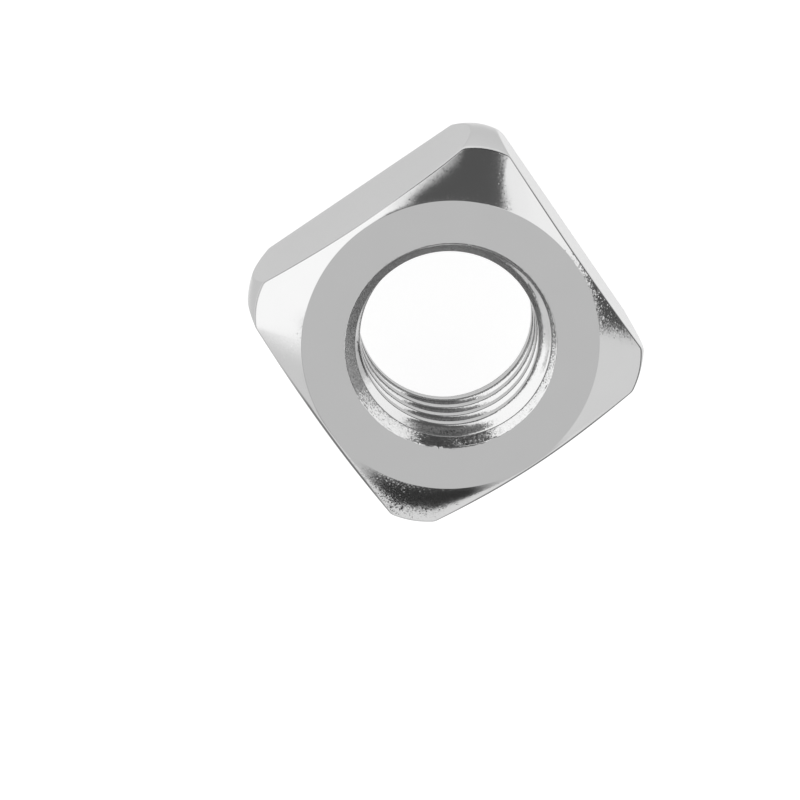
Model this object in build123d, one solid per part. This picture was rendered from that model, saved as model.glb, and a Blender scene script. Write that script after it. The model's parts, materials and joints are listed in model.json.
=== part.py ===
from build123d import *
import os
from math import ceil, radians, sqrt, tan

# Square nut with an M12 coarse thread, cold forged and tapped, in one piece.
# All sizes in millimetres. Origin at the centre of the bearing face, +Z along the thread towards
# the chamfered face. +X and +Y look out of two neighbouring spanner flats.

# Thread, right-hand. Its start is the height at which the middle of its groove crosses +X, and its
# crests stand a little back from the nominal tapping bore.
thread_size = 12.0
thread_pitch = 1.75
thread_angle = 60.0
thread_start = 0.42
crest_clearance = 0.095

# Body
across_flats = 18.0
nut_height = 9.75

# Chamfer on the top face: how far its round land stops short of the flats, and the cone's slope
land_inset = 0.3
chamfer_angle = 35.0

# Countersunk mouths of the bore, one on each face: how far they open past the thread, and their cone
mouth_margin = 0.2
mouth_angle = 60.0

# Forged corners: how far short of the sharp corner each flat ends, and how far the corner bulges
# past a straight cut, at the bearing face, at the waist and at the top face
bearing_setback = 2.35
bearing_bulge = 0.35
waist_height = 4.3
waist_setback = 1.12
waist_bulge = 0.05
top_setback = 3.1
top_bulge = 0.4

# How far a cutting body runs past the surface that it cuts
overrun = 1.0

half_width = across_flats / 2
land_radius = half_width - land_inset
root_radius = thread_size / 2
bore_radius = (thread_size - thread_pitch) / 2 + crest_clearance
mouth_radius = root_radius + mouth_margin
mouth_depth = (mouth_radius - bore_radius) / tan(radians(mouth_angle / 2))


def revolved(outline):
    """A solid of revolution about the thread's axis, from points given as (radius, height)."""
    return revolve(make_face(Plane.XZ * Polyline(*outline, close=True)), Axis.Z)


def square_blank():
    """The square prism that the flats and both faces are left from."""
    return Box(across_flats, across_flats, nut_height, align=(Align.CENTER, Align.CENTER, Align.MIN))


def chamfer_envelope():
    """The cone that takes the corners off the top face and leaves the round land."""
    reach = half_width * sqrt(2) + overrun
    drop = (reach - land_radius) * tan(radians(chamfer_angle))
    return revolved(
        [
            (0, -overrun),
            (reach, -overrun),
            (reach, nut_height - drop),
            (land_radius, nut_height),
            (0, nut_height),
        ]
    )


def corner_section(height, setback, bulge):
    """What one corner lacks of the full square at one height: bounded by an arc on the nut's side."""
    edge, out = half_width - setback, half_width + overrun
    # the arc's middle lies on the diagonal, one bulge outside the straight cut
    middle = half_width - setback / 2 + bulge / sqrt(2)
    arc = ThreePointArc((edge, half_width), (middle, middle), (half_width, edge))
    rest = Polyline((half_width, edge), (out, edge), (out, out), (edge, out), (edge, half_width))
    return Plane.XY.offset(height) * make_face([arc, rest])


def corner_cutters():
    """The die's corners stay unfilled, least so at the waist: one lofted cutter, set at all four."""
    cutter = loft(
        [
            corner_section(0, bearing_setback, bearing_bulge),
            corner_section(waist_height, waist_setback, waist_bulge),
            corner_section(nut_height, top_setback, top_bulge),
        ]
    )
    return [Rot(0, 0, 90 * corner) * cutter for corner in range(4)]


def bore():
    """The bore to the thread's crests, with its two countersunk mouths."""
    return revolved(
        [
            (0, 0),
            (mouth_radius, 0),
            (bore_radius, mouth_depth),
            (bore_radius, nut_height - mouth_depth),
            (mouth_radius, nut_height),
            (0, nut_height),
        ]
    )


def thread_turns():
    """The tap's groove, one turn at a time, from below the bearing face to above the top face."""
    slope = tan(radians(thread_angle / 2))
    # a flat of an eighth of the pitch at the root, and the flanks carried on into the open bore
    root = thread_pitch / 16
    inside = bore_radius - thread_pitch / 8
    mouth = root + (root_radius - inside) * slope
    section = make_face(
        Plane.XZ
        * Polyline((inside, -mouth), (root_radius, -root), (root_radius, root), (inside, mouth), close=True)
    )
    turn = sweep(section, path=Helix(thread_pitch, thread_pitch, root_radius), is_frenet=True)
    turns = ceil((nut_height - thread_start) / thread_pitch) + 2
    return [Pos(0, 0, thread_start + thread_pitch * (n - 2)) * turn for n in range(turns)]


def square_nut():
    """The whole nut as one solid."""
    body = square_blank() & chamfer_envelope()
    for cutter in corner_cutters():
        body -= cutter
    body -= bore()
    for turn in thread_turns():
        body -= turn
    return body


os.makedirs("parts", exist_ok=True)
export_step(square_nut(), "parts/square_nut.step")
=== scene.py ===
import json
import bmesh
import bpy
import numpy as np
from mathutils import Matrix, Vector


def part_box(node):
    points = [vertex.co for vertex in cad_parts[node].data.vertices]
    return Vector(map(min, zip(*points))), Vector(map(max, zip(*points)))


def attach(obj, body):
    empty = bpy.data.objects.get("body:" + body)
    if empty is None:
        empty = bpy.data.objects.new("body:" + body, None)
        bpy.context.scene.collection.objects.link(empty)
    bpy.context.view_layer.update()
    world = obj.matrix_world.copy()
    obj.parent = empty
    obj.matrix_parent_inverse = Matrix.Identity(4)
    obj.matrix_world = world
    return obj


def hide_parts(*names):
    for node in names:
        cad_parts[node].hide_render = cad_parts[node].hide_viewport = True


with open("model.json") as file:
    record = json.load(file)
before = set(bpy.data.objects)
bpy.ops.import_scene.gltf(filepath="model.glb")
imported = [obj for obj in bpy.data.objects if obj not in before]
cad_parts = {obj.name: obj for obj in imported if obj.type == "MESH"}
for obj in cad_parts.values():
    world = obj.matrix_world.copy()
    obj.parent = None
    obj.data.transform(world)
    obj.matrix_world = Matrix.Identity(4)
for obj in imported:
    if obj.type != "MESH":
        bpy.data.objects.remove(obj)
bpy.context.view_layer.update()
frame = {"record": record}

# The square nut: one slug of stainless steel wire, headed cold in a square die, chamfered on its
# top face, pierced, countersunk at both mouths and tapped. The die's corners stay unfilled, which
# leaves a slightly bulged strip down each corner, narrowest at its waist. Sizes are in millimetres.
MM = 0.001
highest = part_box("square_nut")[1]
half_width, height = highest.x / MM, highest.z / MM

# Its thread: the start is the height at which the middle of the groove crosses +X. A flank comes
# in by the flank's slope for each millimetre along the axis, which sets it 30 degrees from square
thread_mount = next(m for m in frame["record"]["mounts"] if m["name"] == "thread")
crest_radius = thread_mount["dims"]["r_mm"]
root_radius = 6.0
thread_pitch = 1.75
thread_start = 0.42
root_flat = thread_pitch / 8
flank_slope = np.sqrt(3)

# Its countersunk mouths, its round land, and its chamfer. The crown is how far the chamfer stands
# proud in the middle of its slope, as a share of the slope's run
mouth_margin = 0.2
mouth_radius = root_radius + mouth_margin
mouth_slope = np.radians(30)
land_inset = 0.3
land_radius = half_width - land_inset
chamfer_angle = np.radians(35)
chamfer_crown = 0.02

# Its corners: how far each flat stops short of the sharp corner and how far the corner bulges past
# a straight cut, at the bearing face, at the waist and at the top face
waist_height = 4.3
corner_heights = (0, waist_height, height)
corner_setback = np.polyfit(corner_heights, (2.35, 1.12, 3.1), 2)
corner_bulge = np.polyfit(corner_heights, (0.35, 0.05, 0.4), 2)

# How far each edge is rounded back, from the sharp corner to where its rounding ends, and how far
# in and down that is on a mouth's cone. The blends do the same for the groove's root, for the
# crests, and for where the thread runs out into the mouths
lip_edge = 0.07
lip_in, lip_down = lip_edge * np.sin(mouth_slope), lip_edge * np.cos(mouth_slope)
land_edge = 0.03
corner_edge = 0.14
bearing_edge = 0.16
root_blend, crest_blend, cone_blend = 0.03, 0.09, 0.08

# The ragged lip of the top mouth: how deep its nicks are, how each is spread over its neighbours,
# their share all round, and the sides with more of them, as (angle, spread, share)
nick_seed = 12
nick_depth = 0.08
nick_spill = (0.15, 0.7, 0.15)
nicked_all_round = 0.15
nicked_sides = ((np.radians(238), 0.5, 1.0), (np.radians(150), 0.35, 0.35))

# The grain of the chamfer: its share all round, and the sides with more of it, in the same way
grained_all_round = 0.08
grained_sides = ((np.radians(-8), 0.3, 0.8), (np.radians(212), 0.25, 0.2))

# Points of the skin: columns in a quarter of the way round, then rows in each stretch
flat_columns, strip_columns, arc_columns = 40, 14, 4
quadrant_columns = flat_columns + strip_columns + 2 * arc_columns
columns = 4 * quadrant_columns
FLAT = slice(0, flat_columns)
FIRST_ARC = slice(FLAT.stop, FLAT.stop + arc_columns)
STRIP = slice(FIRST_ARC.stop, FIRST_ARC.stop + strip_columns)
SECOND_ARC = slice(STRIP.stop, STRIP.stop + arc_columns)
bend_rows, land_rows, chamfer_rows, chamfer_edge_rows = 4, 4, 12, 6
side_rows, bearing_edge_rows, bearing_rows = 16, 5, 7
flank_rows, crest_rows = 6, 5


def bent(start, corner, end, share):
    """Quadratic curve from start to end that leaves and arrives along the lines to the corner."""
    return (1 - share) ** 2 * start + 2 * share * (1 - share) * corner + share**2 * end


def quadrant(z):
    """One quarter of the nut's outline at the heights z, one height for each column. The flat is a
    straight run on x = half width, the corner strip a parabola from the end of that flat to the
    start of the next, one bulge proud of its chord, and each edge between them a short bend. The
    setback and the bulge are quadratics in z through their values at the three heights."""
    setback, bulge = np.polyval(corner_setback, z), np.polyval(corner_bulge, z)
    edge = half_width - setback
    middle = half_width - setback / 2 + bulge / np.sqrt(2)
    control = 2 * middle - (half_width + edge) / 2
    reach = corner_edge / (np.sqrt(2) * setback)

    def strip(share, part):
        """The strip's points at these shares of its width, on the parabola from end to end."""
        first = np.stack([np.full_like(edge[..., part], half_width), edge[..., part]], -1)
        second = first[..., ::-1]
        pull = np.stack([control[..., part]] * 2, -1)
        return bent(first, pull, second, share[..., None])

    points = np.empty(z.shape + (2,))
    points[..., FLAT, 0] = half_width
    points[..., FLAT, 1] = (edge[..., FLAT] - corner_edge) * np.linspace(-1, 1, flat_columns)
    for part, mirror in ((FIRST_ARC, False), (SECOND_ARC, True)):
        share = (np.arange(arc_columns) + 1) / (arc_columns + 1)
        share = share[::-1, None] if mirror else share[:, None]
        x = np.full_like(edge[..., part], half_width)
        start = np.stack([x, edge[..., part] - corner_edge], -1)
        corner = np.stack([x, edge[..., part]], -1)
        bend = bent(start, corner, strip(reach[..., part], part), share)
        points[..., part, :] = bend[..., ::-1] if mirror else bend
    share = reach[..., STRIP] + (1 - 2 * reach[..., STRIP]) * np.linspace(0, 1, strip_columns)
    points[..., STRIP, :] = strip(share, STRIP)
    return points


# The turns that bring the first quarter to its four places: by 0, 90, 180 and 270 degrees
quarter_turns = np.array([[[1, 0], [0, 1]], [[0, -1], [1, 0]], [[-1, 0], [0, -1]], [[0, 1], [-1, 0]]])


def side(z):
    """Points of the nut's side at the heights z, one height for each column all the way round:
    each quarter's outline, times its turn."""
    quarters = quadrant(z.reshape(z.shape[:-1] + (4, quadrant_columns)))
    across = np.einsum("qij,...qcj->...qci", quarter_turns, quarters)
    return np.concatenate([across.reshape(z.shape + (2,)), z[..., None]], -1)


# Where the chamfer's cone meets the side: the cone falls by its slope times the way out from the
# land, and the side's distance from the axis is taken at that height, until both agree. The foot
# is that line, with its angle round the nut for each column
rounds_to_agree = 20
meeting = np.full(columns, height)
for _ in range(rounds_to_agree):
    reach_out = np.hypot(*side(meeting)[:, :2].T)
    meeting = height - (reach_out - land_radius) * np.tan(chamfer_angle)
foot = side(meeting)
angle = np.unwrap(np.arctan2(foot[:, 1], foot[:, 0]))

# The edge under the chamfer: quadrant, column, how far it is rounded back, and how dark the painted
# line along it is: a dark reflection painted into the steel's grey. It is crisp along the +X and +Y
# flats, rounder along the other two, and has no painted line where the first corner meets the +Y
# flat. Both values run straight from one place to the next
edge_table = np.array([
    (0, 6, 0.11, 1.0), (0, 33, 0.11, 1.0), (0, 43, 0.12, 0.5), (0, 57, 0.2, 0.0),
    (1, 3, 0.2, 0.0), (1, 10, 0.08, 0.2), (1, 33, 0.07, 0.8), (1, 44, 0.12, 0.4), (1, 57, 0.14, 0.4),
    (2, 4, 0.15, 0.2), (2, 14, 0.28, 0.9), (2, 33, 0.28, 1.0), (2, 44, 0.15, 0.3), (2, 57, 0.15, 0.3),
    (3, 6, 0.25, 1.0), (3, 33, 0.25, 1.0), (3, 44, 0.12, 1.0), (3, 57, 0.12, 1.0),
])
edge_columns = edge_table[:, 0] * quadrant_columns + edge_table[:, 1]
chamfer_edge, painted_reflection_darkness = (
    np.interp(np.arange(columns), edge_columns, values, period=columns) for values in edge_table[:, 2:].T)


def ring(radius, z):
    """A circle round the axis, with one point on each column's angle."""
    return np.stack([radius * np.cos(angle), radius * np.sin(angle), np.full_like(angle, z)], -1)


def between(start, end, count):
    """Rows evenly spaced from start up to, but not at, end."""
    share = np.linspace(0, 1, count, endpoint=False)[:, None, None]
    return start + (end - start) * share


def crowned(rows, run):
    """The rows of the chamfer, lifted by crown times run times the parabola 4 share (1 - share)."""
    share = np.linspace(0, 1, len(rows), endpoint=False)[:, None]
    rows[..., 2] += chamfer_crown * run[:, 0] * 4 * share * (1 - share)
    return rows


def rounded(start, corner, end, count):
    """Rows of a short quadratic bend over an edge, from start up to, but not at, end."""
    return bent(start, corner, end, np.linspace(0, 1, count, endpoint=False)[:, None, None])


def share_round(sides, all_round):
    """A share for each column round the nut: the one all round, and on top of it each side's share
    times the bell curve exp(-(way round from the side's angle / spread) squared)."""
    share = np.full(columns, all_round)
    for middle, spread, more in sides:
        off = (angle - middle + np.pi) % (2 * np.pi) - np.pi
        share += more * np.exp(-((off / spread) ** 2))
    return share


def lip_nicks():
    """How far the punch tore the lip of the top mouth back at each column: random numbers, each
    shared a little with its neighbours, times the depth and the share of its side."""
    dice = np.random.default_rng(nick_seed)
    tear = dice.standard_normal(columns)
    tear = np.convolve(np.tile(tear, 3), nick_spill, "same")[columns:2 * columns]
    return nick_depth * tear * share_round(nicked_sides, nicked_all_round)


def outside_rows():
    """Rows from the lip of the top mouth over the land, the chamfer, the side and the bearing
    face to the lip of the bottom mouth, with the name of each row's finish. Faces and slopes are
    straight runs between two rings, and each edge between them is a bend over its sharp corner."""
    torn = mouth_radius + lip_nicks()
    top_mouth = ring(mouth_radius - lip_in, height - lip_down)
    top_lip = ring(torn, height)
    land_start = ring(torn + lip_edge, height)
    land_end = ring(land_radius - land_edge, height)

    rim = ring(land_radius, height)
    chamfer_run = np.linalg.norm(foot - rim, axis=-1, keepdims=True)
    down_cone = (foot - rim) / chamfer_run
    cone_start = rim + down_cone * land_edge
    cone_end = foot - down_cone * chamfer_edge[:, None]
    side_heights = np.linspace(meeting - chamfer_edge, np.full_like(meeting, bearing_edge), side_rows)
    down_side = side(side_heights)

    sill = side(np.zeros(columns))
    along = np.roll(sill, -1, 0) - np.roll(sill, 1, 0)
    outward = np.stack([along[:, 1], -along[:, 0], 0 * along[:, 2]], -1)
    outward /= np.linalg.norm(outward, axis=-1, keepdims=True)
    bearing_start = sill - outward * bearing_edge
    bearing_end = ring(mouth_radius + lip_edge, 0)
    bottom_lip = ring(mouth_radius, 0)
    bottom_mouth = ring(mouth_radius - lip_in, lip_down)

    stretches = [
        (rounded(top_mouth, top_lip, land_start, bend_rows), "mouth"),
        (between(land_start, land_end, land_rows), "face"),
        (rounded(land_end, rim, cone_start, bend_rows), "chamfer"),
        (crowned(between(cone_start, cone_end, chamfer_rows), chamfer_run), "chamfer"),
        (rounded(cone_end, foot, down_side[0], chamfer_edge_rows), "edge"),
        (down_side, "side"),
        (rounded(down_side[-1], sill, bearing_start, bearing_edge_rows)[1:], "side"),
        (np.linspace(bearing_start, bearing_end, bearing_rows), "face"),
        (rounded(bearing_end, bottom_lip, bottom_mouth, bend_rows)[1:], "mouth"),
    ]
    rows = np.concatenate([rows for rows, _ in stretches])
    return rows, [name for rows, name in stretches for _ in rows]


def smooth_max(a, b, blend):
    """The larger of a and b with the corner between them rounded off: half the sum of a, b and the
    square root of (a - b) squared plus blend squared."""
    return (a + b + np.sqrt((a - b) ** 2 + blend**2)) / 2


def bore_radius(z, turn):
    """The bore's radius at the height z and the angle turn. The tap's groove climbs one pitch a
    turn, with a flat root and two flanks at 30 degrees from square, and a 60 degree countersink
    opens both ends: the radius is the largest of the groove's, the crests' and the cone's."""
    phase = (z - thread_start - thread_pitch * turn / (2 * np.pi)) % thread_pitch
    off_root = np.minimum(phase, thread_pitch - phase) - root_flat / 2
    groove = root_radius - smooth_max(off_root * flank_slope, 0, root_blend)
    cone = mouth_radius - np.minimum(z, height - z) * np.tan(mouth_slope)
    return smooth_max(smooth_max(groove, crest_radius, crest_blend), cone, cone_blend)


def bore_rows():
    """Rows that climb with the thread, from the bottom lip to the top one, and how many of them
    make one turn. Each row keeps to one place on the groove's section, so the crests' edges run
    along rows: its height is its own at +X plus one pitch a turn, and is held at the lips."""
    root_end = root_flat / 2
    flank_end = root_end + (root_radius - crest_radius) / flank_slope
    # rows stand about this far to each side of an edge, so that it stays crisp
    off_edge = 0.02
    half_section = np.concatenate([
        [0, root_end - root_blend],
        np.linspace(root_end + off_edge, flank_end - off_edge, flank_rows),
        np.linspace(flank_end + off_edge, thread_pitch / 2, crest_rows),
    ])
    section = np.concatenate([half_section, thread_pitch - half_section[-2:0:-1]])
    spare_turns = 2
    turns = np.arange(-spare_turns, int(height / thread_pitch) + spare_turns)
    starts = (thread_start + turns[:, None] * thread_pitch + section).ravel()
    z = starts[:, None] + thread_pitch * angle / (2 * np.pi)
    z = np.clip(z, lip_down, height - lip_down)
    radius = bore_radius(z, angle)
    at_lip = (z == lip_down) | (z == height - lip_down)
    radius = np.where(at_lip, mouth_radius - lip_down * np.tan(mouth_slope), radius)
    points = np.stack([radius * np.cos(angle), radius * np.sin(angle), z], -1)
    return points, len(section)


def quads(first, rows, seam_shift):
    """Corner numbers of the faces of a grid that closes on itself. The last column joins the first
    one seam_shift rows further on, which is one turn of the thread in the bore."""
    number = first + np.arange(rows * columns).reshape(rows, columns)
    shifted = number[np.minimum(np.arange(rows) + seam_shift, rows - 1), :1]
    number = np.concatenate([number, shifted], 1)
    return np.stack([number[:-1, :-1], number[1:, :-1], number[1:, 1:], number[:-1, 1:]], -1).reshape(-1, 4)


def square_nut():
    """The whole nut as one closed skin: the grid of the outside and the grid of the bore, welded
    at both lips. Each point carries its share of each finish as an attribute."""
    outside, finishes = outside_rows()
    bore, one_turn = bore_rows()
    outside = np.concatenate([outside, bore[:1]])
    finishes.append("mouth")
    points = np.concatenate([outside.reshape(-1, 3), bore.reshape(-1, 3)])
    outside_points = outside.size // 3
    faces = np.concatenate([quads(0, len(outside), 0), quads(outside_points, len(bore), one_turn)])
    mesh = bpy.data.meshes.new("square_nut_skin")
    mesh.from_pydata((points * MM).tolist(), [], faces.tolist())

    # a point of the bore belongs to a countersink if it lies on the cone, give or take its blend
    on_cone_within = 0.03
    in_bore = np.arange(len(points)) >= outside_points
    finish = np.concatenate([np.repeat(finishes, columns), np.full(in_bore.sum(), "bore")])
    radius = np.hypot(points[:, 0], points[:, 1])
    depth = np.minimum(points[:, 2], height - points[:, 2])
    cone = mouth_radius - depth * np.tan(mouth_slope)
    on_cone = (finish == "mouth") | (in_bore & (radius < cone + on_cone_within))
    rows = len(points) // columns
    on_strip = np.tile(np.repeat([0.0, 1.0], [flat_columns, quadrant_columns - flat_columns]), 4 * rows)
    grain = np.tile(share_round(grained_sides, grained_all_round), rows)
    # the painted dark reflection line lies on the second to fourth row of the rounding under the chamfer
    painted_edge_reflection = np.zeros((rows, columns))
    painted_edge_reflection[np.flatnonzero(np.array(finishes) == "edge")[1:4]] = painted_reflection_darkness
    for name, value in {
        "chamfered": ((finish == "chamfer") | (finish == "edge")) * grain,
        "painted_edge_reflection": painted_edge_reflection.ravel(),
        "countersunk": on_cone,
        "tapped": in_bore & ~on_cone,
        "die_corner": (finish == "side") * on_strip,
    }.items():
        attribute = mesh.attributes.new(name, "FLOAT", "POINT")
        attribute.data.foreach_set("value", value.astype(np.float32))

    weld, sliver = 0.001 * MM, 0.0001 * MM
    skin = bmesh.new()
    skin.from_mesh(mesh)
    bmesh.ops.remove_doubles(skin, verts=skin.verts, dist=weld)
    bmesh.ops.dissolve_degenerate(skin, edges=skin.edges, dist=sliver)
    skin.to_mesh(mesh)
    skin.free()
    mesh.shade_smooth()
    return mesh


def add_node(tree, kind, inputs=None, **settings):
    """Adds one shader node, sets its properties, and fills its sockets with values or links."""
    node = tree.nodes.new(kind)
    for name, value in settings.items():
        setattr(node, name, value)
    for name, value in (inputs or {}).items():
        if isinstance(value, bpy.types.NodeSocket):
            tree.links.new(value, node.inputs[name])
        else:
            node.inputs[name].default_value = value
    return node


def add_math(tree, operation, first, second=0.0):
    """Adds a node that works out one operation on two numbers or links, and returns its result."""
    return add_node(tree, "ShaderNodeMath", {0: first, 1: second}, operation=operation).outputs[0]


def add_vector_math(tree, operation, first, second=(0, 0, 0), **inputs):
    """Adds a node that works out one operation on two directions, and returns its result."""
    inputs = {0: first, 1: second, **inputs}
    return add_node(tree, "ShaderNodeVectorMath", inputs, operation=operation).outputs[0]


# The steel: its grey from its darkest cloud to its lightest, its grey seen edge-on, how rough its
# polish is, and how much rougher it is with grain
darkest_grey, lightest_grey = 0.59, 0.61
cloud_size, cloud_detail = 2, 3
edge_on_grey = 0.72
polish_roughness, grain_roughness = 0.1, 0.05

# Its grain: the size, how far a grain leans and how much further a deep one, how few are deep, and
# the share of grain in the thread and on the corner strips and of pits in the thread, where a
# countersink has one
grain_size = 0.075
grain_tilt, deep_tilt, deep_power = 0.12, 0.5, 5.0
thread_grain, corner_grain, thread_pits = 0.3, 0.15, 0.15

# How much darker the pits, the corner strips and the painted dark reflection under the chamfer
# are, and how far the small steps that the punch leaves in the countersinks turn their shading to
# the open end
pit_darkness, corner_darkness, reflection_line_darkness = 0.2, 0.1, 0.8
step_lift = 0.3


def stainless_steel():
    """Bright stainless steel, plain on the pressed faces. Its grains are the cells of a Voronoi
    pattern with random colours. The normal leans by a cell's colour less one half, times the grain
    there, and further in the chamfer's deep cells. A cell is as deep as its blue to the fifth
    power, and in the bore a deep one is a darker pit. In the countersinks the normal also leans to
    the open end. The grey is the cloud's, times one less the darkness of the painted reflection
    line under the chamfer, of pit and of corner."""
    material = bpy.data.materials.new("stainless_steel")
    material.use_nodes = True
    tree = material.node_tree
    tree.nodes.clear()
    place = add_node(tree, "ShaderNodeTexCoord").outputs["Object"]

    def share(name):
        return add_node(tree, "ShaderNodeAttribute", attribute_name=name).outputs["Fac"]

    def plus(first, second):
        return add_math(tree, "ADD", first, second)

    def times(first, second):
        return add_math(tree, "MULTIPLY", first, second)

    def darker(grey, where, by):
        return times(grey, add_math(tree, "SUBTRACT", 1.0, times(where, by)))

    cells = {"Vector": place, "Scale": 1 / (grain_size * MM)}
    grains = add_node(tree, "ShaderNodeTexVoronoi", cells).outputs["Color"]
    blue = add_node(tree, "ShaderNodeSeparateColor", {"Color": grains}).outputs["Blue"]
    deep = add_math(tree, "POWER", blue, deep_power)
    grainy = plus(share("chamfered"), share("countersunk"))
    grainy = plus(grainy, times(share("tapped"), thread_grain))
    grainy = plus(grainy, times(share("die_corner"), corner_grain))
    lean = plus(times(share("chamfered"), times(deep, deep_tilt)), times(grainy, grain_tilt))

    height_up = add_node(tree, "ShaderNodeSeparateXYZ", {0: place}).outputs["Z"]
    open_end = add_math(tree, "SIGN", add_math(tree, "SUBTRACT", height_up, height / 2 * MM))
    lift = times(times(share("countersunk"), step_lift), open_end)
    normal = add_node(tree, "ShaderNodeNewGeometry").outputs["Normal"]
    lifted = add_node(tree, "ShaderNodeCombineXYZ", {"Z": lift}).outputs[0]
    normal = add_vector_math(tree, "ADD", normal, lifted)
    tilt = add_vector_math(tree, "SUBTRACT", grains, (0.5, 0.5, 0.5))
    tilt = add_vector_math(tree, "SCALE", tilt, Scale=lean)
    normal = add_vector_math(tree, "NORMALIZE", add_vector_math(tree, "ADD", normal, tilt))

    clouds = {"Vector": place, "Scale": 1 / (cloud_size * MM), "Detail": cloud_detail}
    cloud = add_node(tree, "ShaderNodeTexNoise", clouds).outputs["Fac"]
    greys = {"Value": cloud, "To Min": darkest_grey, "To Max": lightest_grey}
    grey = add_node(tree, "ShaderNodeMapRange", greys).outputs[0]
    pits = times(deep, plus(share("countersunk"), times(share("tapped"), thread_pits)))
    # painted reflection: a dark line along the edge under the chamfer, darkened into the grey
    grey = darker(grey, share("painted_edge_reflection"), reflection_line_darkness)
    grey = darker(grey, pits, pit_darkness)
    grey = darker(grey, share("die_corner"), corner_darkness)
    colour = add_node(tree, "ShaderNodeCombineColor", {"Red": grey, "Green": grey, "Blue": grey})
    shader = add_node(tree, "ShaderNodeBsdfPrincipled", {
        "Base Color": colour.outputs[0],
        "Metallic": 1.0,
        "Roughness": plus(times(grainy, grain_roughness), polish_roughness),
        "Specular Tint": (edge_on_grey,) * 3 + (1,),
        "Normal": normal,
    })
    output = add_node(tree, "ShaderNodeOutputMaterial")
    tree.links.new(shader.outputs[0], output.inputs[0])
    return material


nut = bpy.data.objects.new("nut_skin", square_nut())
bpy.context.scene.collection.objects.link(nut)
nut.data.materials.append(stainless_steel())
nut.modifiers.new("flat faces stay flat", "WEIGHTED_NORMAL")
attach(nut, "root")
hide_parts("square_nut")

# The floor: a plain white board, matt painted, on which the nut lies and which keeps its soft
# shadow. The camera and reflections see most of its white whatever falls on it.
floor_size = 2000
floor_gap = 0.01
board_paint = 0.8
seen_white, seen_paint = 0.88, 0.3


def white_board():
    """Matt white paint. The camera and reflections see a fixed white plus a share of paint, so the
    board looks white with a faint shadow, and all other light falls on the paint alone."""
    material = bpy.data.materials.new("white_board")
    material.use_nodes = True
    tree = material.node_tree
    tree.nodes.clear()
    ray = add_node(tree, "ShaderNodeLightPath").outputs
    seen = add_math(tree, "MAXIMUM", ray["Is Camera Ray"], ray["Is Glossy Ray"])
    seen = add_math(tree, "MAXIMUM", seen, ray["Is Transmission Ray"])
    paint = add_node(tree, "ShaderNodeBsdfDiffuse", {"Color": (board_paint,) * 3 + (1,)})
    faint = add_node(tree, "ShaderNodeBsdfDiffuse", {"Color": (seen_paint,) * 3 + (1,)})
    glow = add_node(tree, "ShaderNodeEmission", {"Color": (1, 1, 1, 1), "Strength": seen_white})
    both = add_node(tree, "ShaderNodeAddShader", {0: faint.outputs[0], 1: glow.outputs[0]})
    shown = add_node(tree, "ShaderNodeMixShader", {0: seen, 1: paint.outputs[0], 2: both.outputs[0]})
    output = add_node(tree, "ShaderNodeOutputMaterial")
    tree.links.new(shown.outputs[0], output.inputs[0])
    return material


bpy.ops.mesh.primitive_plane_add(size=floor_size * MM)
floor = bpy.context.object
floor.name = "floor"
floor.location.z = -floor_gap * MM
floor.data.materials.append(white_board())

# The light: a pale room all round, with soft white windows and dark screens in it, so that the
# steel has something to show. Where two overlap, the later one in the list covers the earlier.
room_level = 0.8

# Each panel's azimuth, elevation, half width, half height and softness, all in degrees, then its
# brightness, and its rise in elevation for each degree of azimuth
panels = (
    (122, 26, 45, 34, 11, 1.55, 0),
    (178, 14, 14, 14, 8, 0.95, 0),
    (5, 28, 24, 32, 6, 1.4, 0),
    (-66, 14, 21, 16, 4, 1.02, 0),
    (176, 44, 25, 13, 4, 0.55, 0),
    (62, 54.5, 32, 10.5, 2.5, 0.08, 0),
    (79, 43, 8, 3.5, 3, 0.25, 0),
    (46.5, 30, 26, 14, 4, 0.13, 0),
    (67, 18.5, 14, 9.5, 7, 1.3, 0.4),
    (22.5, 25, 12, 16, 6, 1.35, -2.1),
    (55, 3, 29, 15, 4, 0.07, 0),
    (-32, 14, 12, 10, 3, 0.1, 0),
    (-128, 3, 17, 11, 5, 0.04, 0),
)


def heading(azimuth):
    """The level unit vector (cos azimuth, sin azimuth, 0), with the azimuth in degrees."""
    return Vector((np.cos(np.radians(azimuth)), np.sin(np.radians(azimuth)), 0))


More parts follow.
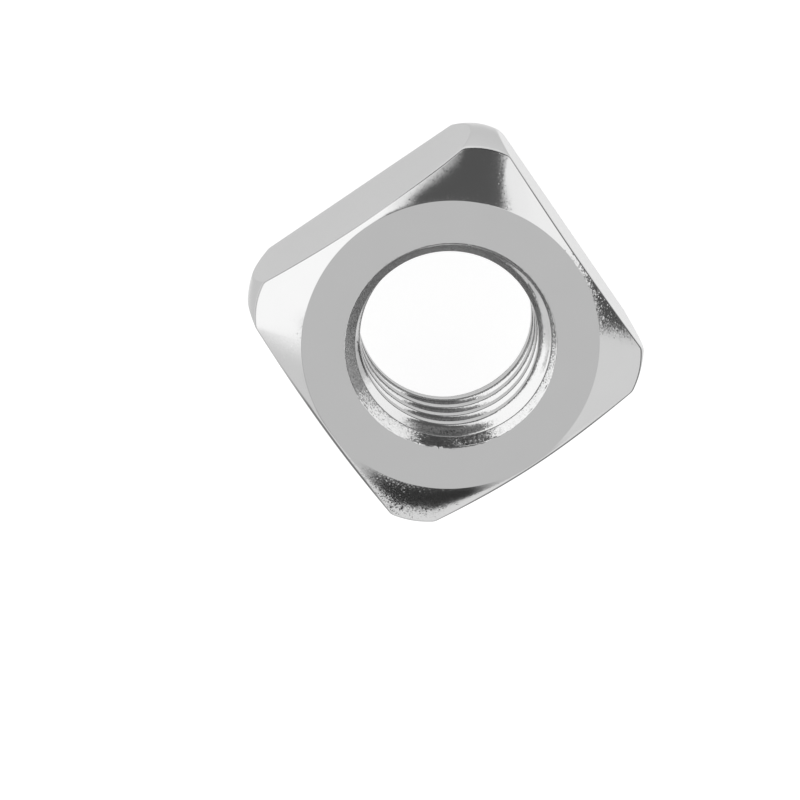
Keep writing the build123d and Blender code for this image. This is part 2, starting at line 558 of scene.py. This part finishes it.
def studio():
    """The room's brightness by direction: its level, then each panel laid over it with a share that
    falls from one to nothing across its soft border, in azimuth and in elevation alike. The
    elevation counts less the panel's rise times the way round from its middle."""
    world = bpy.data.worlds.new("studio")
    world.use_nodes = True
    tree = world.node_tree
    tree.nodes.clear()
    direction = add_node(tree, "ShaderNodeTexCoord").outputs["Generated"]

    def along(axis):
        dot = add_node(tree, "ShaderNodeVectorMath", {0: direction, 1: axis}, operation="DOT_PRODUCT")
        return dot.outputs["Value"]

    def within(turned, middle, half, softness):
        off = add_math(tree, "ABSOLUTE", add_math(tree, "SUBTRACT", turned, np.radians(middle)))
        outer, inner = np.radians(half + softness), np.radians(half - softness)
        border = {"Value": off, "From Min": outer, "From Max": inner}
        return add_node(tree, "ShaderNodeMapRange", border, interpolation_type="SMOOTHSTEP").outputs[0]

    height_angle = add_math(tree, "ARCSINE", along(Vector((0, 0, 1))))
    level = room_level
    for azimuth, elevation, half_across, half_up, softness, brightness, rise in panels:
        sideways = add_math(tree, "ARCTAN2", along(heading(azimuth + 90)), along(heading(azimuth)))
        levelled = add_math(tree, "SUBTRACT", height_angle, add_math(tree, "MULTIPLY", sideways, rise))
        across = within(sideways, 0, half_across, softness)
        upward = within(levelled, elevation, half_up, softness)
        covered = {"Factor": add_math(tree, "MULTIPLY", across, upward), "A": level, "B": brightness}
        level = add_node(tree, "ShaderNodeMix", covered, data_type="FLOAT").outputs[0]
    background = add_node(tree, "ShaderNodeBackground", {"Color": (1, 1, 1, 1), "Strength": level})
    output = add_node(tree, "ShaderNodeOutputWorld")
    tree.links.new(background.outputs[0], output.inputs[0])
    return world


bpy.context.scene.world = studio()
bpy.context.scene.view_settings.view_transform = "Standard"

# The camera: it looks down on the nut's chamfered face, a little from the corner between the +X
# and +Y flats, with the nut above and to the right of the middle of the picture. Its three
# directions are the picture's right, the picture's up, and the way back from the nut to it.
right = Vector((0.8259, -0.5626, 0.0379))
up = Vector((0.5490, 0.7869, -0.2817))
back = Vector((0.1286, 0.2534, 0.9588))
camera_distance = 178.9
nut_right_of_middle, nut_above_middle = 2.963, 3.105
picture_width = 800
focal_pixels = 3069
sensor_width = 36
nearest_seen, farthest_seen = 10, 10000

camera_data = bpy.data.cameras.new("camera")
camera_data.sensor_width = sensor_width
camera_data.lens = focal_pixels / picture_width * sensor_width
camera_data.clip_start, camera_data.clip_end = nearest_seen * MM, farthest_seen * MM
camera = bpy.data.objects.new("camera", camera_data)
bpy.context.scene.collection.objects.link(camera)
turn = Matrix((right, up, back)).transposed()
aim = Vector((0, 0, height)) - right * nut_right_of_middle - up * nut_above_middle
camera.matrix_world = Matrix.Translation((aim + back * camera_distance) * MM) @ turn.to_4x4()
bpy.context.scene.camera = camera
